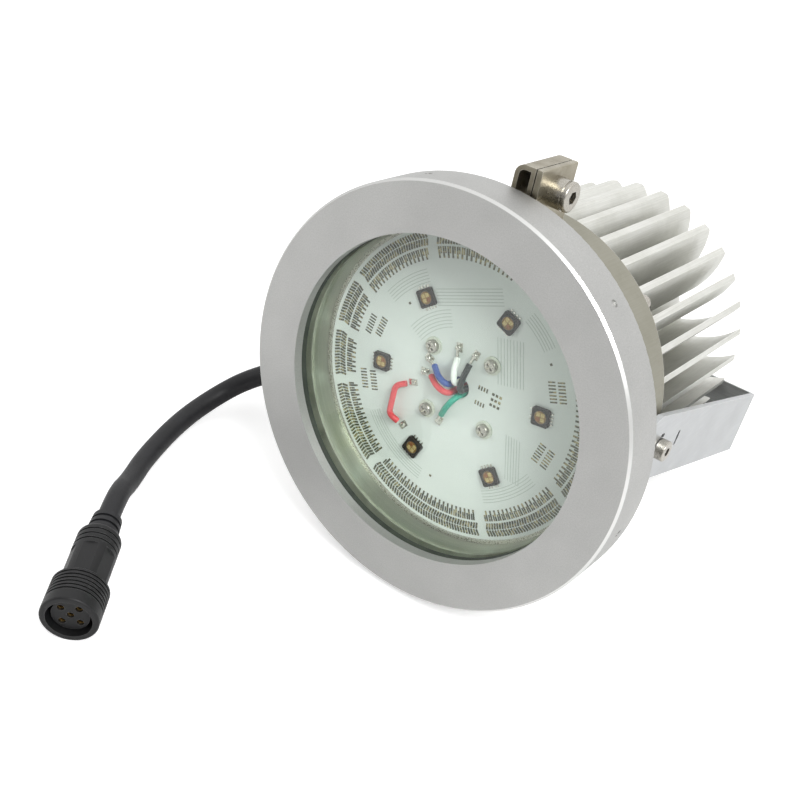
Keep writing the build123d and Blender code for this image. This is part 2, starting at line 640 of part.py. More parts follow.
def make_gland_nut():
    body = Pos(0, 0, GLAND_NUT_R) * hexagon(GLAND_NUT_AF, GLAND_NUT_LEN)
    body += Pos(0, 0, GLAND_NUT_R + GLAND_NUT_LEN) * Cone(
        GLAND_COLLAR_R, GLAND_SEAL_R, GLAND_COLLAR_LEN, align=(Align.CENTER, Align.CENTER, Align.MIN))
    body -= rod(CABLE_R + FIT_GAP, GLAND_END_R)
    body -= Pos(0, 0, GLAND_NUT_R) * rod(GLAND_SEAL_R, GLAND_SEAL_LEN)
    return body


def make_gland_seal():
    seal = rod(GLAND_SEAL_R - FIT_GAP, GLAND_SEAL_LEN) - rod(CABLE_R, GLAND_SEAL_LEN)
    return Pos(0, 0, GLAND_NUT_R) * seal


# ---- connector, drawn up +Z from its rear end to its mating face
CONN_COLLAR_Z = CONN_BOOT_LEN + CONN_BODY_LEN
CONN_FACE_Z = CONN_COLLAR_Z + CONN_COLLAR_LEN
CONN_BORE_R = CONN_COLLAR_R - CONN_COLLAR_WALL
CONN_FLOOR_Z = CONN_FACE_Z - CONN_INSERT_SET - CONN_INSERT_LEN


def make_connector_boot():
    """Tapered strain relief with ribs, moulded on the cable."""
    boot = Cone(CONN_BOOT_END_R, CONN_BOOT_R, CONN_BOOT_LEN, align=(Align.CENTER, Align.CENTER, Align.MIN))
    step = CONN_BOOT_LEN / (CONN_RIBS + 1)
    slope = (CONN_BOOT_R - CONN_BOOT_END_R) / CONN_BOOT_LEN
    for i in range(CONN_RIBS):
        z = step * (i + 0.75)
        boot -= tube(CONN_COLLAR_R, CONN_BOOT_END_R + slope * z - CONN_RIB_DEPTH, z, z + CONN_RIB_T)
    return boot


def make_connector_shell():
    """Grip behind the collar: a barrel with flats and three ring grooves."""
    body = Pos(0, 0, CONN_BOOT_LEN) * rod(CONN_BODY_R, CONN_BODY_LEN)
    body = fillet(body.edges().group_by(Axis.Z)[0], CONN_BODY_R - CONN_BOOT_R - FIT_GAP)
    for i in range(CONN_BODY_GROOVES):
        z = CONN_BOOT_LEN + CONN_GROOVE_PITCH * (i + 1.2)
        body -= tube(CONN_COLLAR_R, CONN_BODY_R - CONN_GROOVE_DEPTH, z, z + CONN_GROOVE_W)
    flats_z = CONN_BOOT_LEN + CONN_GROOVE_PITCH * (CONN_BODY_GROOVES + 1.2)
    flat_r = CONN_BODY_R * math.cos(math.radians(180 / CONN_FLATS)) + CONN_GROOVE_DEPTH
    for i in range(CONN_FLATS):
        cut = Pos(flat_r, 0, flats_z) * Box(
            CONN_BODY_R, 2 * CONN_BODY_R, CONN_BODY_LEN, align=(Align.MIN, Align.CENTER, Align.MIN))
        body -= Rot(0, 0, 360 / CONN_FLATS * i) * cut
    return body


def make_connector_collar():
    """The mating end: an outside thread behind a smooth lip, with the insert's cavity in it."""
    collar = Pos(0, 0, CONN_COLLAR_Z) * rod(CONN_COLLAR_R, CONN_COLLAR_LEN)
    collar = chamfer(collar.edges().group_by(Axis.Z)[0], CONN_THREAD_DEPTH)
    collar = fillet(collar.edges().group_by(Axis.Z)[-1], CONN_LIP_R)
    for i in range(CONN_THREAD_RIDGES):
        z = CONN_COLLAR_Z + CONN_THREAD_PITCH * (i + 0.9)
        collar -= tube(2 * CONN_COLLAR_R, CONN_COLLAR_R - CONN_THREAD_DEPTH, z, z + CONN_THREAD_PITCH / 2)
    return collar - Pos(0, 0, CONN_FLOOR_Z) * rod(CONN_BORE_R, CONN_COLLAR_LEN)


def contact_spots():
    spots = [Pos(0, 0, 0)]
    for i in range(CONN_PINS_OUTER):
        spots.append(on_circle(CONN_PIN_CIRCLE_R, CONN_PIN_START + 360 / CONN_PINS_OUTER * i, 0))
    return spots


def make_connector_insert():
    body = Pos(0, 0, CONN_FLOOR_Z) * rod(CONN_INSERT_R, CONN_INSERT_LEN)
    body += Pos(0, 0, CONN_FLOOR_Z) * rod(CONN_BORE_R - FIT_GAP, CONN_INSERT_SET)
    for spot in contact_spots():
        body -= spot * Pos(0, 0, CONN_FLOOR_Z) * rod(CONN_PIN_R, CONN_INSERT_LEN)
    return body


def make_contacts():
    length = CONN_INSERT_LEN - CONN_PIN_SET
    pin = rod(CONN_PIN_R, length)
    pin -= Pos(0, 0, length - SOCKET_BORE_DEPTH) * rod(SOCKET_BORE_R, SOCKET_BORE_DEPTH)
    return [spot * Pos(0, 0, CONN_FLOOR_Z) * pin for spot in contact_spots()]


# ---- the head, in its own frame
HEAD = {}
HEAD["trim_ring"] = make_trim_ring()
HEAD["front_gasket"] = tube(LENS_SEAT_R - FIT_GAP, RING_BORE_R, GASKET_Z, GLASS_Z)
HEAD["glass_lens"] = tube(LENS_SEAT_R - FACE_GAP, 0, GLASS_Z, REAR_GASKET_Z)
HEAD["rear_gasket"] = tube(LENS_SEAT_R - FIT_GAP, CUP_R, REAR_GASKET_Z, HOUSING_FRONT_Z)
HEAD["lamp_housing"] = make_housing()
HEAD["heat_sink"] = make_heat_sink()
o_ring_z = SINK_FLANGE_Z - O_RING_INSET
HEAD["body_o_ring"] = Pos(0, 0, o_ring_z) * Torus(BODY_BORE_R - O_RING_D / 2 - O_RING_SQUEEZE / 2, O_RING_D / 2)
HEAD["led_board"] = make_board()
HEAD["thermal_pad"] = make_thermal_pad()
seat_r = CUP_R - FIT_GAP
HEAD["board_retaining_ring"] = tube(seat_r, seat_r - SEAT_RING_WIDTH, BOARD_DEPTH - SEAT_RING_T, BOARD_DEPTH)
HEAD["led_packages"] = [spot * make_led() for spot in led_spots()]
window = Pos(0, 0, LED_WELL_DEPTH - LED_T - WINDOW_T) * rod(LED_WELL_R, WINDOW_T)
HEAD["led_windows"] = [spot * window for spot in led_spots()]
HEAD["led_legs"] = [spot * leg for spot in led_spots() for leg in make_legs()]
HEAD["board_washers"] = [spot * make_washer() for spot in board_screw_spots(BOARD_DEPTH)]
HEAD["board_screws"] = [spot * make_board_screw() for spot in board_screw_spots(BOARD_DEPTH)]
for index, (colour, (radius, angle)) in enumerate(LEADS.items()):
    HEAD["lead_" + colour] = make_lead(index, radius, angle)
HEAD["jumper_wire"] = make_jumper()
HEAD["solder_pads"] = make_pads()
body_cap = cap_screw(
    BODY_HEAD_R, BODY_HEAD_T, BODY_HEX_AF, BODY_HEX_DEPTH, BODY_SCREW_R, SINK_FLANGE_T + BODY_SCREW_LEN)
HEAD["body_screws"] = [
    on_circle(BODY_SCREW_CIRCLE_R, body_screw_angle(i), FIN_Z) * body_cap for i in range(BODY_SCREWS)]
HEAD["clamp_band"] = make_band()
HEAD["clamp_loop"] = clamp_frame() * make_clamp_loop()
HEAD["clamp_lug"] = clamp_frame() * make_clamp_lug()
HEAD["clamp_nut"] = clamp_frame() * make_clamp_nut()
HEAD["clamp_screw"] = clamp_frame() * make_clamp_screw()
pivot_cap = cap_screw(PIVOT_HEAD_R, PIVOT_HEAD_T, PIVOT_HEX_AF, PIVOT_HEX_DEPTH, PIVOT_SCREW_R,
                      BRACKET_T + 2 * FACE_GAP + PIVOT_SCREW_BITE)
HEAD["pivot_screws"] = [
    pivot_line(side) * Pos(0, 0, ARM_OUT_X + FACE_GAP) * pivot_cap for side in (0, 180)]
HEAD["mounting_bracket"] = make_bracket()
gland = radial(GLAND_ANGLE, GLAND_Z)
HEAD["gland_body"] = gland * make_gland_body()
HEAD["gland_nut"] = gland * make_gland_nut()
HEAD["gland_seal"] = gland * make_gland_seal()
HEAD["cable_entry"] = gland * Pos(0, 0, CABLE_BITE) * rod(CABLE_R, GLAND_END_R - CABLE_BITE)


# ---- standing: the ring's rear edge and the lowest fin ends share the ground
def rest_tilt():
    """Angle of the line that touches the ring's rear round and the fins' end round."""
    pitch = 360 / FIN_COUNT
    off = (90 - FIN_START) % pitch
    low = math.cos(math.radians(min(off, pitch - off)))
    across = (FIN_END_Z - FIN_END_ROUND) - (RING_DEPTH - RING_REAR_ROUND)
    rise = (RING_R - RING_REAR_ROUND) - (FIN_TIP_R - FIN_END_ROUND) * low
    apart = math.hypot(across, rise)
    return math.degrees(math.atan2(rise, across) - math.asin((FIN_END_ROUND - RING_REAR_ROUND) / apart))


TILT = rest_tilt()
LAY_BACK = Rot(-90 - TILT, 0, 0)


def solids_of(shape):
    """The solids of a node, whether it is one shape or a list of shapes."""
    if isinstance(shape, list):
        return [solid for one in shape for solid in one.solids()]
    return list(shape.solids())


def place(location, shape):
    return [location * solid for solid in solids_of(shape)]


laid = [solid for shape in HEAD.values() for solid in place(LAY_BACK, shape)]
box = Compound(laid).bounding_box()
STAND = Pos(-(box.min.X + box.max.X) / 2, -(box.min.Y + box.max.Y) / 2, -box.min.Z)
parts = {name: place(STAND * LAY_BACK, shape) for name, shape in HEAD.items()}

# ---- connector and cable, lying on the ground beside the head
plug = Pos(CONN_X, CONN_Y, CONN_COLLAR_R) * Rot(0, 0, CONN_AIM) * Rot(0, 90, 0)
parts["connector_boot"] = place(plug, make_connector_boot())
parts["connector_shell"] = place(plug, make_connector_shell())
parts["connector_collar"] = place(plug, make_connector_collar())
parts["connector_insert"] = place(plug, make_connector_insert())
parts["connector_contacts"] = place(plug, make_contacts())


def cable_points():
    """The cable's route from the gland nut to the connector's boot."""
    leave = STAND * LAY_BACK * gland * Pos(0, 0, GLAND_END_R)
    drop = leave * Pos(0, 0, CABLE_FIRST_RUN)
    arrive = plug * Pos(0, 0, -CABLE_LAST_RUN)
    return [leave.position, drop.position, *[Vector(*p) for p in CABLE_LIES], arrive.position, plug.position]


route = cable_points()
radii = bend_radii(route)
cable_line = wire_path(route, radii)
cable = sweep_round(cable_line, CABLE_R)
parts["power_cable"] = solids_of(cable)

os.makedirs("parts", exist_ok=True)
for name, solids in parts.items():
    export_step(Compound(solids), "parts/" + name + ".step")

section = math.pi * CABLE_R ** 2
print("tilt", round(TILT, 4), "stand", tuple(STAND.position), "box", box.size)
print("bend radii", [round(r, 1) for r in radii])
print("cable length", round(cable_line.length, 2), "volume ratio",
      round(cable.volume / (section * cable_line.length), 4))
print("cable points", [tuple(round(v, 2) for v in p) for p in route])
pivot = Pos(0, PIVOT_Y, PIVOT_Z)
web = pivot * Rot(-BRACKET_DROP, 0, 0) * Pos(0, 0, BRACKET_REACH)
places = {"pivot": pivot, "web_centre": web, "web_left": web * Pos(-WEB_HOLE_PITCH, 0, 0),
          "web_right": web * Pos(WEB_HOLE_PITCH, 0, 0), "ring_face": Pos(0, 0, 0)}
for name, spot in places.items():
    there = STAND * LAY_BACK * spot
    print(name, tuple(round(v, 3) for v in there.position), "axis",
          tuple(round(v, 6) for v in (there * Pos(0, 0, 1)).position - there.position))
face = plug * Pos(0, 0, CONN_FACE_Z)
print("connector_face", tuple(round(v, 3) for v in face.position))
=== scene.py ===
import json
import math

import bmesh
import bpy
from mathutils import Matrix, Vector


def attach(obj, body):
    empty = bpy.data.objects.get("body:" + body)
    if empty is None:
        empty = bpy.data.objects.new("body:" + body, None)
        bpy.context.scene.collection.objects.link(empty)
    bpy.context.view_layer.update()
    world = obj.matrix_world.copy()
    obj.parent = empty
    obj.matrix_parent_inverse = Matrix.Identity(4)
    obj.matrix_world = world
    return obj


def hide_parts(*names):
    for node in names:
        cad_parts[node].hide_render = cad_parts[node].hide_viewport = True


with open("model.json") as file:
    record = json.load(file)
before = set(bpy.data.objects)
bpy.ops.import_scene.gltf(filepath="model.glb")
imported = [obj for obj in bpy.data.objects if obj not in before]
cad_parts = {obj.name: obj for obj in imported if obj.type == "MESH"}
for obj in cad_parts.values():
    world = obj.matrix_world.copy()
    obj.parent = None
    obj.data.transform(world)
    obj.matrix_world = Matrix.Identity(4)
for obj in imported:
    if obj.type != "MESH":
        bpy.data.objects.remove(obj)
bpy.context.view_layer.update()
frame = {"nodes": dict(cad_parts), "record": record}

# ---- the head's own frame, in mm: +X right pivot, +Y underside, +Z from the ring to the fins
MM = 0.001
TILT = 9.6317
STAND = Vector((0.0, -69.3534, 76.8319))
TURN = Matrix.Rotation(math.radians(-90 - TILT), 4, "X")
HEAD = Matrix.Translation(STAND * MM) @ TURN @ Matrix.Scale(MM, 4)
LEAN = math.radians(TILT)
AXIS = Vector((0.0, math.cos(LEAN), -math.sin(LEAN)))
DOWN = Vector((0.0, -math.sin(LEAN), -math.cos(LEAN)))

# ---- where one finish gives way to another, mm: each pair takes a mask from 0 to 1
CHAMFER_R = (74.1, 74.25)
CHAMFER_DEPTH = (0.95, 0.8)
DIMPLE_MOUTH_R = (74.7, 74.4)
DIMPLE_FLOOR_R = (65.0, 66.0)
DIMPLE_FRONT = (8.5, 8.8)
DIMPLE_BACK = (11.5, 11.2)
SINK_RIM_R = (58.0, 58.6)
HOUSING_WALL_R = (58.2, 57.9)
HOUSING_WALL_DEPTH = (25.0, 24.0)
BEHIND_GLASS = (12.0, 12.2)
GLASS_SIDE_R = (63.6, 63.8)

# ---- the board and its LED packages, mm
BOARD_FACE = 22.8
LED_COUNT = 6
LED_CIRCLE = 33.0
LED_START = -8.1
LED_TOP = 1.3
WELL_DEPTH = 0.7
GEL_T = 0.5

# ---- the cable's route, mm, from the gland to the connector
ROUTE = [
    (-72.05, -27.36, 35.63), (-88.82, -28.66, 27.92), (-109.1, -37.3, 15.5), (-118.0, -48.8, 7.4),
    (-118.9, -69.1, 4.4), (-111.5, -94.8, 4.3), (-103.4, -110.1, 5.8), (-97.75, -120.51, 10.2),
    (-89.3, -132.9, 10.2)]
CABLE_R = 4.1


def tone(red, green, blue, alpha=1.0):
    """A colour given on the usual 0 to 255 scale, as the shader takes it."""
    def channel(value):
        value /= 255
        return value / 12.92 if value <= 0.04045 else ((value + 0.055) / 1.055) ** 2.4
    return (channel(red), channel(green), channel(blue), alpha)


# ---- node trees
class Net:
    """Adds nodes to one tree and returns their outputs."""

    def __init__(self, tree):
        self.tree = tree

    def feed(self, socket, value):
        """Links an output to a socket, or sets the socket's own value."""
        if isinstance(value, bpy.types.NodeSocket):
            self.tree.links.new(value, socket)
        elif value is not None:
            socket.default_value = value

    def node(self, kind, settings=None, inputs=None):
        """A new node with its settings, its input sockets fed by name or number."""
        made = self.tree.nodes.new(kind)
        for key, value in (settings or {}).items():
            setattr(made, key, value)
        for key, value in (inputs or {}).items():
            self.feed(made.inputs[key], value)
        return made

    def math(self, operation, a, b=0.5):
        """A step of arithmetic on one or two values."""
        return self.node("ShaderNodeMath", {"operation": operation}, {0: a, 1: b}).outputs[0]

    def vector(self, operation, a, b=None):
        """A step of vector arithmetic, as a value or a vector by its kind."""
        made = self.node("ShaderNodeVectorMath", {"operation": operation}, {0: a, 1: b})
        return made.outputs["Value" if operation in ("DOT_PRODUCT", "LENGTH") else "Vector"]

    def span(self, value, low, high, to_low=0.0, to_high=1.0):
        """A value taken from one range to another and held at its ends."""
        inputs = {"Value": value, "From Min": low, "From Max": high, "To Min": to_low, "To Max": to_high}
        return self.node("ShaderNodeMapRange", {"clamp": True}, inputs).outputs["Result"]

    def vary(self, mask, low, high):
        """A value that goes from low to high with a mask."""
        return self.span(mask, 0.0, 1.0, low, high)

    def blend(self, factor, a, b):
        """One colour or another by a mask; the numbers are the mix node's colour sockets."""
        return self.node("ShaderNodeMix", {"data_type": "RGBA"}, {0: factor, 6: a, 7: b}).outputs[2]

    def noise(self, where, scale, detail=3.0, rough=0.55):
        """Cloudy noise from 0 to 1."""
        inputs = {"Vector": where, "Scale": scale, "Detail": detail, "Roughness": rough}
        return self.node("ShaderNodeTexNoise", None, inputs).outputs["Fac"]

    def use(self, group, inputs=None):
        """The outputs of a node group."""
        return self.node("ShaderNodeGroup", {"node_tree": group}, inputs).outputs


def new_group(name, takes, gives):
    """A shader node group: its tree as a Net, its input sockets and its output node."""
    tree = bpy.data.node_groups.new(name, "ShaderNodeTree")
    kinds = {"value": "NodeSocketFloat", "vector": "NodeSocketVector", "colour": "NodeSocketColor"}
    for title, (kind, start) in takes.items():
        socket = tree.interface.new_socket(title, in_out="INPUT", socket_type=kinds[kind])
        if start is not None:
            socket.default_value = start
    for title, kind in gives.items():
        tree.interface.new_socket(title, in_out="OUTPUT", socket_type=kinds[kind])
    net = Net(tree)
    return net, net.node("NodeGroupInput").outputs, net.node("NodeGroupOutput").inputs


def head_place():
    """Where a point lies on the head, in mm: off the optical axis, behind the ring's face and round it."""
    net, _, gives = new_group("head_place", {}, {
        "Radius": "value", "Depth": "value", "Around": "value", "Place": "vector"})
    here = net.node("ShaderNodeTexCoord").outputs["Object"]
    place = net.vector("SCALE", net.vector("SUBTRACT", here, tuple(STAND * MM)))
    place.node.inputs["Scale"].default_value = 1 / MM
    across = net.vector("DOT_PRODUCT", place, (1.0, 0.0, 0.0))
    down = net.vector("DOT_PRODUCT", place, tuple(DOWN))
    depth = net.vector("DOT_PRODUCT", place, tuple(AXIS))
    squares = net.math("ADD", net.math("MULTIPLY", across, across), net.math("MULTIPLY", down, down))
    net.feed(gives["Radius"], net.math("SQRT", squares))
    net.feed(gives["Depth"], depth)
    net.feed(gives["Around"], net.math("ARCTAN2", down, across))
    spot = net.node("ShaderNodeCombineXYZ", None, {0: across, 1: down, 2: depth})
    net.feed(gives["Place"], spot.outputs[0])
    return net.tree


def blasted():
    """Bead blasted skin: fine pits and a faint cloud over them."""
    net, takes, gives = new_group("blasted", {"Place": ("vector", None), "Pits": ("value", 3.0)},
                                  {"Height": "value", "Speck": "value", "Cloud": "value"})
    pits = net.noise(takes["Place"], takes["Pits"], 2.0, 0.7)
    fine = net.noise(takes["Place"], net.math("MULTIPLY", takes["Pits"], 2.7), 1.0, 0.6)
    height = net.math("ADD", net.math("MULTIPLY", pits, 0.6), net.math("MULTIPLY", fine, 0.4))
    net.feed(gives["Height"], height)
    net.feed(gives["Speck"], net.span(height, 0.38, 0.62))
    net.feed(gives["Cloud"], net.span(net.noise(takes["Place"], 0.035, 4.0), 0.3, 0.7))
    return net.tree


def drawn_lines():
    """Lines left by drawing or brushing, long along one way of the stretched place."""
    net, takes, gives = new_group("drawn_lines", {
        "Place": ("vector", None), "Stretch": ("vector", (1.0, 1.0, 1.0))},
        {"Height": "value", "Line": "value"})
    place = net.vector("MULTIPLY", takes["Place"], takes["Stretch"])
    lines = net.noise(place, 1.0, 4.0, 0.65)
    net.feed(gives["Height"], lines)
    net.feed(gives["Line"], net.span(lines, 0.35, 0.65))
    return net.tree


def worn_edge():
    """Where an edge is rounded off and rubbed bright."""
    net, takes, gives = new_group("worn_edge", {"Place": ("vector", None), "Width": ("value", 0.0004)},
                                  {"Mask": "value"})
    round_off = net.node("ShaderNodeBevel", {"samples": 4}, {"Radius": takes["Width"]}).outputs["Normal"]
    flat = net.node("ShaderNodeNewGeometry").outputs["Normal"]
    turn = net.span(net.vector("DOT_PRODUCT", round_off, flat), 0.995, 0.9)
    patchy = net.span(net.noise(takes["Place"], 0.35, 4.0), 0.3, 0.6, 0.35, 1.0)
    net.feed(gives["Mask"], net.math("MULTIPLY", turn, patchy))
    return net.tree


def turned():
    """Fine grooves of the lathe, round the optical axis."""
    net, takes, gives = new_group("turned", {
        "Radius": ("value", None), "Depth": ("value", None), "Around": ("value", None)},
        {"Height": "value", "Groove": "value"})
    along = net.math("MULTIPLY", net.math("ADD", takes["Radius"], takes["Depth"]), 3.2)
    around = net.math("MULTIPLY", takes["Around"], 0.25)
    place = net.node("ShaderNodeCombineXYZ", None, {0: along, 1: around, 2: 0.0}).outputs[0]
    grooves = net.noise(place, 1.0, 3.0, 0.7)
    net.feed(gives["Height"], grooves)
    net.feed(gives["Groove"], net.span(grooves, 0.35, 0.65))
    return net.tree


def handled():
    """Smears and dust that dull a surface here and there."""
    net, takes, gives = new_group("handled", {"Place": ("vector", None), "Patch": ("value", 0.06)},
                                  {"Mask": "value"})
    broad = net.noise(takes["Place"], takes["Patch"], 5.0, 0.6)
    net.feed(gives["Mask"], net.span(broad, 0.42, 0.68))
    return net.tree


GROUPS = {make.__name__: make() for make in (head_place, blasted, drawn_lines, worn_edge, turned, handled)}


class Finish(Net):
    """One material: a Principled shader with a colour, a roughness and a bump that its nodes vary."""

    def __init__(self, name, metallic=0.0, **sockets):
        self.material = bpy.data.materials.new(name)
        self.material.use_nodes = True
        super().__init__(self.material.node_tree)
        self.shader = self.tree.nodes["Principled BSDF"]
        self.shader.inputs["Metallic"].default_value = metallic
        for title, value in sockets.items():
            self.shader.inputs[title.replace("_", " ")].default_value = value
        self.spot = self.use(GROUPS["head_place"])
        self.place = self.spot["Place"]

    def paint(self, colour):
        self.feed(self.shader.inputs["Base Color"], colour)

    def rough(self, value):
        self.feed(self.shader.inputs["Roughness"], value)

    def bump(self, height, strength, distance):
        """Relief by a height from 0 to 1, over a distance in m."""
        inputs = {"Strength": strength, "Distance": distance, "Height": height}
        made = self.node("ShaderNodeBump", None, inputs)
        self.feed(self.shader.inputs["Normal"], made.outputs["Normal"])

    def fade(self, measure, ends):
        """A mask by a measure of the head's frame, 0 at the first end and 1 at the second."""
        return self.span(self.spot[measure], *ends)

    def group(self, name, **inputs):
        """The outputs of a shared effect, at this place on the head."""
        return self.use(GROUPS[name], {"Place": self.place, **inputs})


def ring_aluminium():
    """Bead blasted and clear anodised, with the cutter's bright chamfer at the front."""
    m = Finish("ring_aluminium", metallic=1.0)
    skin = m.group("blasted", Pits=2.2)
    front = m.blend(skin["Cloud"], tone(182, 182, 180), tone(192, 192, 190))
    speckled = m.blend(m.math("MULTIPLY", skin["Speck"], 0.35), front, tone(158, 158, 156))
    chamfer = m.math("MULTIPLY", m.fade("Radius", CHAMFER_R), m.fade("Depth", CHAMFER_DEPTH))
    bored = m.math("MULTIPLY", m.fade("Radius", DIMPLE_MOUTH_R), m.fade("Radius", DIMPLE_FLOOR_R))
    dimples = m.math("MULTIPLY", bored, m.fade("Depth", DIMPLE_FRONT))
    cut = m.math("MAXIMUM", chamfer, m.math("MULTIPLY", dimples, m.fade("Depth", DIMPLE_BACK)))
    m.paint(m.blend(cut, speckled, tone(222, 222, 220)))
    m.rough(m.blend(cut, m.vary(skin["Speck"], 0.46, 0.56), (0.36, 0.36, 0.36, 1)))
    m.bump(skin["Height"], 0.35, 0.00006)
    return m.material


def sink_aluminium():
    """Extruded fins: die lines along the axis and saw-cut ends; the flange's rim is turned and dull."""
    m = Finish("sink_aluminium", metallic=1.0)
    lines = m.group("drawn_lines", Stretch=(2.6, 2.6, 0.05))
    dirt = m.group("handled", Patch=0.05)["Mask"]
    edge = m.group("worn_edge", Width=0.0004)["Mask"]
    rim = m.fade("Radius", SINK_RIM_R)
    fins = m.blend(lines["Line"], tone(214, 214, 208), tone(230, 230, 225))
    body = m.blend(rim, fins, tone(158, 156, 144))
    grime = m.blend(rim, tone(188, 188, 178), tone(140, 138, 124))
    dulled = m.blend(m.math("MULTIPLY", dirt, 0.35), body, grime)
    m.paint(m.blend(m.math("MULTIPLY", edge, 0.7), dulled, tone(246, 246, 242)))
    rough = m.math("ADD", m.vary(lines["Line"], 0.42, 0.52), m.math("MULTIPLY", dirt, 0.1))
    m.rough(m.math("ADD", rough, m.math("MULTIPLY", rim, 0.08)))
    m.bump(m.math("MULTIPLY", lines["Height"], m.vary(rim, 1.0, 0.3)), 0.3, 0.00008)
    return m.material


def housing_aluminium():
    """Turned body, satin, a little green and dull inside the glass."""
    m = Finish("housing_aluminium", metallic=1.0)
    marks = m.use(GROUPS["turned"], {title: m.spot[title] for title in ("Radius", "Depth", "Around")})
    dirt = m.group("handled", Patch=0.04)["Mask"]
    inside = m.math("MULTIPLY", m.fade("Radius", HOUSING_WALL_R), m.fade("Depth", HOUSING_WALL_DEPTH))
    outside = m.blend(marks["Groove"], tone(152, 150, 138), tone(166, 164, 152))
    satin = m.blend(marks["Groove"], tone(176, 184, 168), tone(196, 202, 188))
    colour = m.blend(inside, outside, satin)
    m.paint(m.blend(m.math("MULTIPLY", dirt, 0.3), colour, tone(158, 158, 146)))
    m.rough(m.vary(marks["Groove"], 0.36, 0.46))
    m.bump(marks["Height"], 0.25, 0.00006)
    return m.material


def bracket_steel():
    """Folded sheet, brushed along its length."""
    m = Finish("bracket_steel", metallic=1.0)
    lines = m.group("drawn_lines", Stretch=(0.06, 1.6, 0.06))
    dirt = m.group("handled", Patch=0.05)["Mask"]
    edge = m.group("worn_edge", Width=0.0003)["Mask"]
    body = m.blend(lines["Line"], tone(184, 186, 187), tone(200, 202, 203))
    dulled = m.blend(m.math("MULTIPLY", dirt, 0.3), body, tone(162, 164, 165))
    m.paint(m.blend(m.math("MULTIPLY", edge, 0.6), dulled, tone(246, 246, 246)))
    m.rough(m.vary(lines["Line"], 0.3, 0.42))
    m.bump(lines["Height"], 0.2, 0.00004)
    return m.material


def clamp_steel():
    """Pressed strap with a warm nickel flash."""
    m = Finish("clamp_steel", metallic=1.0)
    skin = m.group("blasted", Pits=1.1)
    dirt = m.group("handled", Patch=0.12)["Mask"]
    edge = m.group("worn_edge", Width=0.0004)["Mask"]
    body = m.blend(skin["Cloud"], tone(152, 145, 128), tone(170, 164, 147))
    dulled = m.blend(m.math("MULTIPLY", dirt, 0.5), body, tone(122, 114, 96))
    m.paint(m.blend(m.math("MULTIPLY", edge, 0.7), dulled, tone(232, 228, 216)))
    m.rough(m.math("ADD", m.vary(skin["Speck"], 0.26, 0.34), m.math("MULTIPLY", dirt, 0.12)))
    m.bump(skin["Height"], 0.25, 0.00008)
    return m.material


def screw_steel():
    """Bright turned and rolled fasteners."""
    m = Finish("screw_steel", metallic=1.0)
    skin = m.group("blasted", Pits=2.0)
    edge = m.group("worn_edge", Width=0.0003)["Mask"]
    body = m.blend(skin["Speck"], tone(170, 166, 156), tone(190, 186, 178))
    m.paint(m.blend(m.math("MULTIPLY", edge, 0.6), body, tone(240, 240, 236)))
    m.rough(m.vary(skin["Speck"], 0.24, 0.34))
    m.bump(skin["Height"], 0.2, 0.00005)
    return m.material


def gland_metal():
    """Nickel plated brass."""
    m = Finish("gland_metal", metallic=1.0)
    skin = m.group("blasted", Pits=1.6)
    edge = m.group("worn_edge", Width=0.0003)["Mask"]
    body = m.blend(skin["Cloud"], tone(190, 184, 166), tone(204, 199, 184))
    m.paint(m.blend(m.math("MULTIPLY", edge, 0.6), body, tone(238, 234, 220)))
    m.rough(m.vary(skin["Speck"], 0.22, 0.3))
    m.bump(skin["Height"], 0.2, 0.00004)
    return m.material


def contact_brass():
    """Sockets of the connector, rubbed by their plugs."""
    m = Finish("contact_brass", metallic=1.0)
    skin = m.group("blasted", Pits=2.4)
    m.paint(m.blend(skin["Speck"], tone(176, 142, 78), tone(206, 172, 104)))
    m.rough(m.vary(skin["Speck"], 0.26, 0.36))
    m.bump(skin["Height"], 0.15, 0.00004)
    return m.material


def solder():
    """Tinned wire and frozen drops."""
    m = Finish("solder", metallic=1.0)
    skin = m.group("blasted", Pits=1.4)
    m.paint(m.blend(skin["Cloud"], tone(196, 194, 184), tone(222, 220, 212)))
    m.rough(m.vary(skin["Speck"], 0.16, 0.3))
    m.bump(skin["Height"], 0.35, 0.00015)
    return m.material


def rubber(name, dark, pale, pits, low, high, behind=None):
    """Rubber, with another colour for what lies behind the glass if one is given."""
    m = Finish(name, Specular_IOR_Level=0.35)
    skin = m.group("blasted", Pits=pits)
    dust = m.group("handled", Patch=0.09)["Mask"]
    colour = m.blend(m.math("MULTIPLY", dust, 0.5), dark, pale)
    if behind:
        colour = m.blend(m.fade("Depth", BEHIND_GLASS), colour, m.blend(dust, *behind))
    m.paint(colour)
    m.rough(m.vary(skin["Speck"], low, high))
    m.bump(skin["Height"], 0.35, 0.00008)
    return m.material


def moulded(name, dark, pale, low, high):
    """Moulded plastic or clear gel, a little paler at its edges, with a roughness from low to high."""
    m = Finish(name, Specular_IOR_Level=0.35)
    skin = m.group("blasted", Pits=1.3)
    edge = m.group("worn_edge", Width=0.0003)["Mask"]
    body = m.blend(skin["Speck"], dark, pale)
    m.paint(m.blend(m.math("MULTIPLY", edge, 0.3), body, m.blend(0.25, pale, (1, 1, 1, 1))))
    m.rough(m.vary(skin["Speck"], low, high))
    m.bump(skin["Height"], 0.2, 0.00005)
    return m.material


def board_mask():
    """White solder mask over an aluminium core, thin enough to show the copper's edge."""
    m = Finish("board_mask", Coat_Weight=0.25, Coat_Roughness=0.15)
    skin = m.group("blasted", Pits=1.2)
    colour = m.blend(skin["Cloud"], tone(212, 217, 213), tone(220, 224, 220))
    m.paint(m.blend(m.math("MULTIPLY", skin["Speck"], 0.15), colour, tone(204, 209, 204)))
    m.rough(m.vary(skin["Speck"], 0.38, 0.48))
    m.bump(skin["Height"], 0.1, 0.00003)
    return m.material


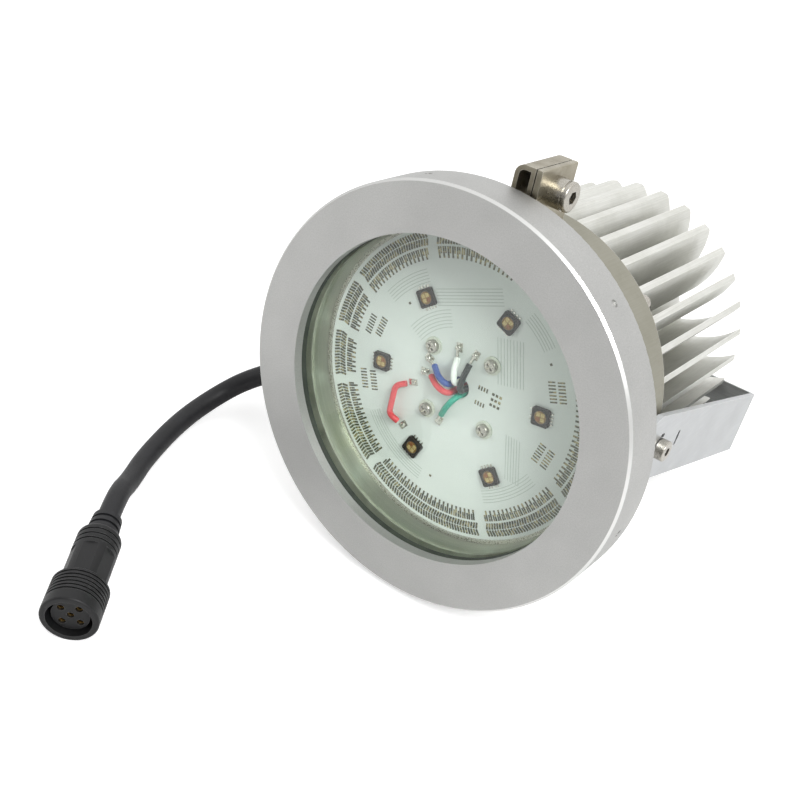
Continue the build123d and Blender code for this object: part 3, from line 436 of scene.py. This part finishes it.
def lens_glass():
    """Tempered glass, its ground side dull where the ring holds it; lamps reach what is behind it."""
    m = Finish("lens_glass", Transmission_Weight=1.0, IOR=1.46)
    skin = m.group("handled", Patch=0.03)["Mask"]
    m.paint(m.blend(skin, tone(250, 253, 251), tone(247, 251, 248)))
    m.rough(m.vary(skin, 0.0, 0.015))
    clear = m.node("ShaderNodeBsdfTransparent", None, {"Color": tone(246, 251, 248)})
    ground = m.node("ShaderNodeBsdfDiffuse", None, {"Color": tone(120, 126, 110)})
    side = m.fade("Radius", GLASS_SIDE_R)
    shadow = m.node("ShaderNodeLightPath").outputs["Is Shadow Ray"]
    held = m.node("ShaderNodeMixShader", None, {0: side, 1: m.shader.outputs[0], 2: ground.outputs[0]})
    both = m.node("ShaderNodeMixShader", None, {0: shadow, 1: held.outputs[0], 2: clear.outputs[0]})
    m.feed(m.tree.nodes["Material Output"].inputs["Surface"], both.outputs[0])
    return m.material


FINISH = {
    "anodised_aluminium": ring_aluminium(),
    "raw_aluminium": sink_aluminium(),
    "housing_aluminium": housing_aluminium(),
    "bracket_steel": bracket_steel(),
    "clamp_steel": clamp_steel(),
    "screw_steel": screw_steel(),
    "gland_metal": gland_metal(),
    "contact_brass": contact_brass(),
    "solder": solder(),
    "lens_glass": lens_glass(),
    "board_white": board_mask(),
    "gasket_rubber": rubber("gasket_rubber", tone(44, 50, 43), tone(66, 73, 63), 0.8, 0.5, 0.65,
                            (tone(136, 140, 124), tone(148, 152, 137))),
    "pad_grey": rubber("pad_grey", tone(150, 156, 166), tone(168, 172, 180), 1.0, 0.6, 0.75),
    "cable_black": rubber("cable_black", tone(26, 26, 28), tone(36, 36, 39), 1.1, 0.42, 0.54),
}

# ---- moulded pieces: dark and pale colour, least and most roughness
MOULDED = {
    "connector_black": (tone(17, 17, 18), tone(26, 26, 27), 0.4, 0.52),
    "led_body": (tone(24, 19, 15), tone(38, 31, 25), 0.35, 0.45),
    "washer_nylon": (tone(196, 200, 186), tone(210, 213, 202), 0.25, 0.35),
    "lead_white": (tone(228, 230, 226), tone(238, 240, 236), 0.3, 0.4),
    "lead_black": (tone(28, 34, 34), tone(40, 46, 46), 0.3, 0.4),
    "lead_blue": (tone(48, 74, 140), tone(60, 88, 156), 0.3, 0.4),
    "lead_red": (tone(200, 62, 68), tone(214, 84, 88), 0.3, 0.4),
    "lead_green": (tone(34, 150, 128), tone(48, 166, 142), 0.3, 0.4),
    "led_window": (tone(104, 78, 42), tone(134, 104, 58), 0.08, 0.16),
}
for name, look in MOULDED.items():
    FINISH[name] = moulded(name, *look)

slots = {part["node"]: part["material_slot"] for part in frame["record"]["subparts"]}
for node, piece in frame["nodes"].items():
    if not piece.material_slots:
        piece.data.materials.append(None)
    for material_slot in piece.material_slots:
        material_slot.material = FINISH[slots[node]]


# ---- cable
def cord_piece():
    """A round cord along its route's points."""
    line = bpy.data.curves.new("power_cord", "CURVE")
    line.dimensions = "3D"
    line.bevel_depth = CABLE_R * MM
    line.bevel_resolution = 8
    line.resolution_u = 16
    line.use_fill_caps = True
    spline = line.splines.new("NURBS")
    spline.points.add(len(ROUTE) - 1)
    for point, (x, y, z) in zip(spline.points, ROUTE):
        point.co = (x * MM, y * MM, z * MM, 1.0)
    spline.order_u = 3
    spline.use_endpoint_u = True
    spline.use_smooth = True
    piece = bpy.data.objects.new("power_cord", line)
    bpy.context.collection.objects.link(piece)
    piece.data.materials.append(FINISH["cable_black"])
    return piece


cord = cord_piece()
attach(cord, "head")
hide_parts("power_cable")


# ---- what is printed and soldered on the board, and the dies in its packages: mm and degrees
RIM_PADS = 288
INNER_ROW = (50.2, 52.5)
OUTER_ROW = (52.8, 55.1)
RIM_PAD_W = 0.78
RIM_PAD_T = 0.1
RIM_PAD_LEAN = 0.7
RIM_GAP = 1.8
TEETH = 160
LONG_TOOTH = (45.4, 49.4)
LONG_TOOTH_W = 0.7
SHORT_TOOTH = (47.0, 49.4)
SHORT_TOOTH_W = 0.6
TOOTH_LAG = 1.0
TOOTH_GAP = 2.2
PAD_T = 0.08
COMB_PADS = 7
COMB_PAD = (2.7, 0.55)
COMB_PITCH = 1.15
TEST_POINT_W = 0.9
CHIP_CENTRE = (9.2, -0.8)
LONG_PAD = (1.6, 0.6)
SQUARE_PAD = (1.0, 1.0)
CHIP_PAD_T = 0.06
TRACK_W = 0.25
TRACK_T = 0.05
DIE_SIZE = 1.4
DIE_OFF = 0.85
DIE_T = 0.06

# the angles at which tracks pass between the rows of pads
ROW_GAPS = [-157.7, -117.6, -76.0, -36.0, 22.0, 63.4, 121.2, 157.7, 179.5]
# rows of small pads and single test points, by radius and angle
COMBS = [(41.4, -170.6), (37.0, -168.3), (41.6, 159.3), (37.4, 158.4), (37.0, -23.2), (40.6, -23.0),
         (36.3, 13.3), (40.1, 13.2)]
TEST_POINTS = [(38.7, -37.3), (38.2, 94.0), (34.0, -142.0)]
# arcs of tracks: the first angle and the number of points
OUTER_ARCS = [(100.0, 15), (28.0, 12), (-150.0, 10), (-62.0, 7)]
INNER_ARCS = [(-152.0, 11)]


def polar(radius, degrees, z=BOARD_FACE):
    """A point of the board by its distance from the optical axis and its angle."""
    turn = math.radians(degrees)
    return Vector((radius * math.cos(turn), radius * math.sin(turn), z))


def add_block(bm, middle, along, length, width, high, low=0.0):
    """A block standing off the board from low to high, its length along a way in the board."""
    along = along.normalized()
    side = Vector((-along.y, along.x, 0.0))
    corners = [middle + along * length / 2 * i + side * width / 2 * j
               for i, j in ((-1, -1), (1, -1), (1, 1), (-1, 1))]
    lower, upper = ([bm.verts.new(HEAD @ (corner - Vector((0, 0, height)))) for corner in corners]
                    for height in (low, high))
    bm.faces.new(upper)
    bm.faces.new(list(reversed(lower)))
    for i in range(4):
        bm.faces.new((lower[i], lower[(i + 1) % 4], upper[(i + 1) % 4], upper[i]))


def add_bar(bm, inner, outer, degrees, width, high):
    """A block along a radius of the board."""
    add_block(bm, polar((inner + outer) / 2, degrees), polar(1.0, degrees, 0.0), outer - inner, width, high)


def add_track(bm, points):
    """A flat track along points of the board."""
    rows = []
    for i, point in enumerate(points):
        before = points[max(i - 1, 0)]
        after = points[min(i + 1, len(points) - 1)]
        way = (after - before).normalized()
        side = Vector((-way.y, way.x, 0.0)) * TRACK_W / 2
        rows.append([bm.verts.new(HEAD @ (point + side * k - Vector((0, 0, h))))
                     for k, h in ((-1, 0.0), (-1, TRACK_T), (1, TRACK_T), (1, 0.0))])
    for a, b in zip(rows, rows[1:]):
        for i in range(4):
            bm.faces.new((a[i], a[(i + 1) % 4], b[(i + 1) % 4], b[i]))
    bm.faces.new(rows[0])
    bm.faces.new(list(reversed(rows[-1])))


def board_piece(name, material, slot_name, build, *choice):
    """A mesh on the board, built in the head's frame by build(bm) or build(bm, choice)."""
    bm = bmesh.new()
    build(bm, *choice)
    bmesh.ops.recalc_face_normals(bm, faces=bm.faces)
    mesh = bpy.data.meshes.new(name)
    bm.to_mesh(mesh)
    bm.free()
    mesh.materials.append(material)
    piece = bpy.data.objects.new(name, mesh)
    bpy.context.collection.objects.link(piece)
    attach(piece, "head")


def tin_plate():
    """Tinned pads under flux: dark olive, with painted bright glints here and there."""
    m = Finish("tin_plate", metallic=0.6)
    # painted highlight: a noise mask for where bright glints are painted into the colour
    painted_glint = m.span(m.noise(m.place, 0.9, 3.0), 0.5, 0.62)
    skin = m.group("blasted", Pits=1.6)
    dull = m.blend(skin["Speck"], tone(62, 64, 52), tone(96, 96, 80))
    # painted highlight: the pale gold tone over the glint mask stands in for glints of light
    m.paint(m.blend(painted_glint, dull, tone(170, 160, 120)))
    m.rough(m.vary(skin["Speck"], 0.3, 0.5))
    m.bump(skin["Height"], 0.3, 0.00006)
    return m.material


def track_print():
    """Copper under the mask, a shade darker than the board."""
    m = Finish("track_print")
    skin = m.group("blasted", Pits=1.2)
    m.paint(m.blend(skin["Speck"], tone(172, 180, 172), tone(184, 192, 184)))
    m.rough(m.vary(skin["Speck"], 0.36, 0.46))
    m.bump(skin["Height"], 0.1, 0.00003)
    return m.material


def led_die(name, dark, pale):
    """A die of an LED, as its gel colours it."""
    m = Finish(name, metallic=0.3)
    skin = m.group("blasted", Pits=3.0)
    m.paint(m.blend(skin["Speck"], dark, pale))
    m.rough(m.vary(skin["Speck"], 0.2, 0.3))
    m.bump(skin["Height"], 0.1, 0.00003)
    return m.material


TIN = tin_plate()
TRACK = track_print()
PALE_DIE = led_die("pale_die", tone(170, 146, 86), tone(206, 186, 128))
WARM_DIE = led_die("warm_die", tone(126, 78, 46), tone(158, 104, 62))


def in_gap(degrees, half):
    """Whether an angle lies within half a gap's width of a gap in the rows."""
    return any(abs((degrees - gap + 180) % 360 - 180) < half for gap in ROW_GAPS)


def add_slant(bm, inner, outer, degrees, lean):
    """A pad from one radius to another, leaning round the board by some degrees."""
    start = polar(inner, degrees)
    end = polar(outer, degrees + lean)
    add_block(bm, (start + end) / 2, end - start, (end - start).length, RIM_PAD_W, RIM_PAD_T)


def build_rim_pads(bm):
    """Two rows of leaning pads round the rim and a comb inside them, broken where the tracks pass."""
    for i in range(RIM_PADS):
        degrees = 360 / RIM_PADS * i
        if not in_gap(degrees, RIM_GAP):
            add_slant(bm, *INNER_ROW, degrees, RIM_PAD_LEAN)
            add_slant(bm, *OUTER_ROW, degrees + RIM_PAD_LEAN, -RIM_PAD_LEAN)
    for i in range(TEETH):
        degrees = 360 / TEETH * i
        if not in_gap(degrees, TOOTH_GAP):
            add_bar(bm, *LONG_TOOTH, degrees, LONG_TOOTH_W, PAD_T)
            add_bar(bm, *SHORT_TOOTH, degrees + TOOTH_LAG, SHORT_TOOTH_W, PAD_T)


def build_comb_pads(bm):
    """Pairs of small footprints beside the side packages."""
    for radius, degrees in COMBS:
        middle = polar(radius, degrees)
        way = polar(1.0, degrees, 0.0)
        side = Vector((-way.y, way.x, 0.0))
        for i in range(COMB_PADS):
            add_block(bm, middle + side * (i - COMB_PADS // 2) * COMB_PITCH, way, *COMB_PAD, PAD_T)
    for radius, degrees in TEST_POINTS:
        way = polar(1.0, degrees, 0.0)
        add_block(bm, polar(radius, degrees), way, TEST_POINT_W, TEST_POINT_W, PAD_T)


def build_chip_pads(bm):
    """An empty chip place right of the wire hole: two rows of long pads and a field of square ones."""
    middle = Vector((*CHIP_CENTRE, BOARD_FACE))
    for side in (-1, 1):
        for i in range(4):
            spot = middle + Vector((-1.7 + 1.1 * i, side * 2.9, 0.0))
            add_block(bm, spot, Vector((0.0, 1.0, 0.0)), *LONG_PAD, CHIP_PAD_T)
    for i in range(3):
        for j in range(3):
            spot = middle + Vector((4.2 + 1.5 * i, -2.9 + 2.0 * j, 0.0))
            add_block(bm, spot, Vector((1.0, 0.0, 0.0)), *SQUARE_PAD, CHIP_PAD_T)


def add_straights(bm, count, first, pitch, run):
    """Parallel straight tracks: where the first starts, how far the next lies, and how each runs."""
    for i in range(count):
        start = Vector((first[0] + pitch[0] * i, first[1] + pitch[1] * i, BOARD_FACE))
        add_track(bm, [start, start + Vector((*run, 0.0))])


def add_arcs(bm, count, radius, pitch, arcs, step):
    """Parallel tracks round the board, in one or more arcs, their points a step apart."""
    for i in range(count):
        for first, points in arcs:
            add_track(bm, [polar(radius + pitch * i, first + step * k) for k in range(points)])


def build_tracks(bm):
    """Fine parallel tracks between the packages and round the board."""
    add_straights(bm, 6, (-17.8, -30.2), (0.45, 1.05), (24.5, -10.3))
    add_straights(bm, 9, (9.5, -24.0), (1.2, -0.3), (4.6, 16.0))
    add_straights(bm, 6, (22.0, 8.0), (1.1, 0.0), (4.0, 16.0))
    add_arcs(bm, 5, 38.0, 1.1, OUTER_ARCS, 3.0)
    add_arcs(bm, 6, 21.5, 1.2, INNER_ARCS, 4.0)


def build_dies(bm, corners):
    """Dies under the gel of each package, on some of its four corners."""
    top = LED_TOP - WELL_DEPTH + GEL_T
    for i in range(LED_COUNT):
        degrees = LED_START + 360 / LED_COUNT * i
        middle = polar(LED_CIRCLE, degrees)
        way = polar(1.0, degrees, 0.0)
        side = Vector((-way.y, way.x, 0.0))
        for a, b in corners:
            spot = middle + way * a * DIE_OFF + side * b * DIE_OFF
            add_block(bm, spot, way, DIE_SIZE, DIE_SIZE, top + DIE_T, top)


board_piece("rim_pads", TIN, "solder", build_rim_pads)
board_piece("comb_pads", TIN, "solder", build_comb_pads)
board_piece("chip_pads", TIN, "solder", build_chip_pads)
board_piece("tracks", TRACK, "board_white", build_tracks)
board_piece("pale_dies", PALE_DIE, "led_window", build_dies, ((-1, -1), (1, 1), (1, -1)))
board_piece("warm_dies", WARM_DIE, "led_window", build_dies, ((-1, 1),))


# ---- floor, lamps and sky, in m
FLOOR_HALF = 4.0
FLOOR_GLOW = 0.45
# the way to the brightest part of the sky, and the light from its darkest to its brightest part
TENT_WAY = (0.1, 0.7, 0.7)
TENT_SPAN = (-0.7, 0.6)
TENT_LIGHT = (0.14, 1.15)
LAMP_TARGET = (0.0, 0.0, 0.07)
# the camera, in mm: its place and its ways right and up in the head's frame, its lens and its sensor
CAMERA_PLACE = Vector((173.3, -188.5, -307.6))
CAMERA_RIGHT = Vector((0.785, -0.1935, 0.5885))
CAMERA_UP = Vector((-0.4244, -0.86, 0.2833))
CAMERA_LENS = 54.0
CAMERA_SENSOR = 36.0


def seen_ray(net):
    """1 for what the camera sees directly, and 0 for light, reflections and shadows."""
    return net.node("ShaderNodeLightPath").outputs["Is Camera Ray"]


def pale_floor():
    """Matt white that keeps the object's shadow and glows a little to the camera only."""
    material = bpy.data.materials.new("pale_floor")
    material.use_nodes = True
    net = Net(material.node_tree)
    shader = material.node_tree.nodes["Principled BSDF"]
    grain = net.noise(net.node("ShaderNodeTexCoord").outputs["Object"], 30.0)
    net.feed(shader.inputs["Base Color"], net.blend(grain, (0.78, 0.78, 0.78, 1), (0.8, 0.8, 0.8, 1)))
    shader.inputs["Roughness"].default_value = 0.9
    shader.inputs["Emission Color"].default_value = (1, 1, 1, 1)
    net.feed(shader.inputs["Emission Strength"], net.math("MULTIPLY", seen_ray(net), FLOOR_GLOW))
    return material


def make_floor():
    """A wide floor, which is part of the stage and not of the object."""
    bm = bmesh.new()
    bmesh.ops.create_grid(bm, x_segments=8, y_segments=8, size=FLOOR_HALF)
    mesh = bpy.data.meshes.new("studio_floor")
    bm.to_mesh(mesh)
    bm.free()
    mesh.materials.append(pale_floor())
    floor = bpy.data.objects.new("studio_floor", mesh)
    bpy.context.collection.objects.link(floor)


def make_world():
    """White to the camera; to all that it lights, a tent that is brighter above and behind."""
    world = bpy.data.worlds.new("studio")
    world.use_nodes = True
    bpy.context.scene.world = world
    net = Net(world.node_tree)
    back = world.node_tree.nodes["Background"]
    way = net.node("ShaderNodeTexCoord").outputs["Generated"]
    tent = net.span(net.vector("DOT_PRODUCT", way, TENT_WAY), *TENT_SPAN, *TENT_LIGHT)
    back.inputs["Color"].default_value = (1, 1, 1, 1)
    net.feed(back.inputs["Strength"], net.math("MAXIMUM", seen_ray(net), tent))


def make_lamp(name, place, size, power):
    """A round softbox that faces the object."""
    lamp = bpy.data.lights.new(name, "AREA")
    lamp.shape = "DISK"
    lamp.size = size
    lamp.energy = power
    holder = bpy.data.objects.new(name, lamp)
    holder.location = place
    holder.rotation_euler = (Vector(LAMP_TARGET) - Vector(place)).to_track_quat("-Z", "Y").to_euler()
    bpy.context.collection.objects.link(holder)


def make_camera():
    """The camera, squared up from its ways right and up."""
    view = bpy.data.cameras.new("camera")
    view.lens = CAMERA_LENS
    view.sensor_width = CAMERA_SENSOR
    camera = bpy.data.objects.new("camera", view)
    turn = HEAD.to_3x3().normalized()
    right = turn @ CAMERA_RIGHT
    up = turn @ CAMERA_UP
    back = right.cross(up)
    up = back.cross(right)
    facing = Matrix((right, up, back)).transposed().to_4x4()
    camera.matrix_world = Matrix.Translation(HEAD @ CAMERA_PLACE) @ facing
    bpy.context.collection.objects.link(camera)
    bpy.context.scene.camera = camera


make_floor()
make_world()
make_lamp("key_softbox", (0.7, -0.45, 0.95), 0.5, 10.0)
make_lamp("left_softbox", (-1.1, -0.8, 0.25), 0.8, 3.5)
make_camera()
bpy.context.scene.view_settings.view_transform = "Standard"
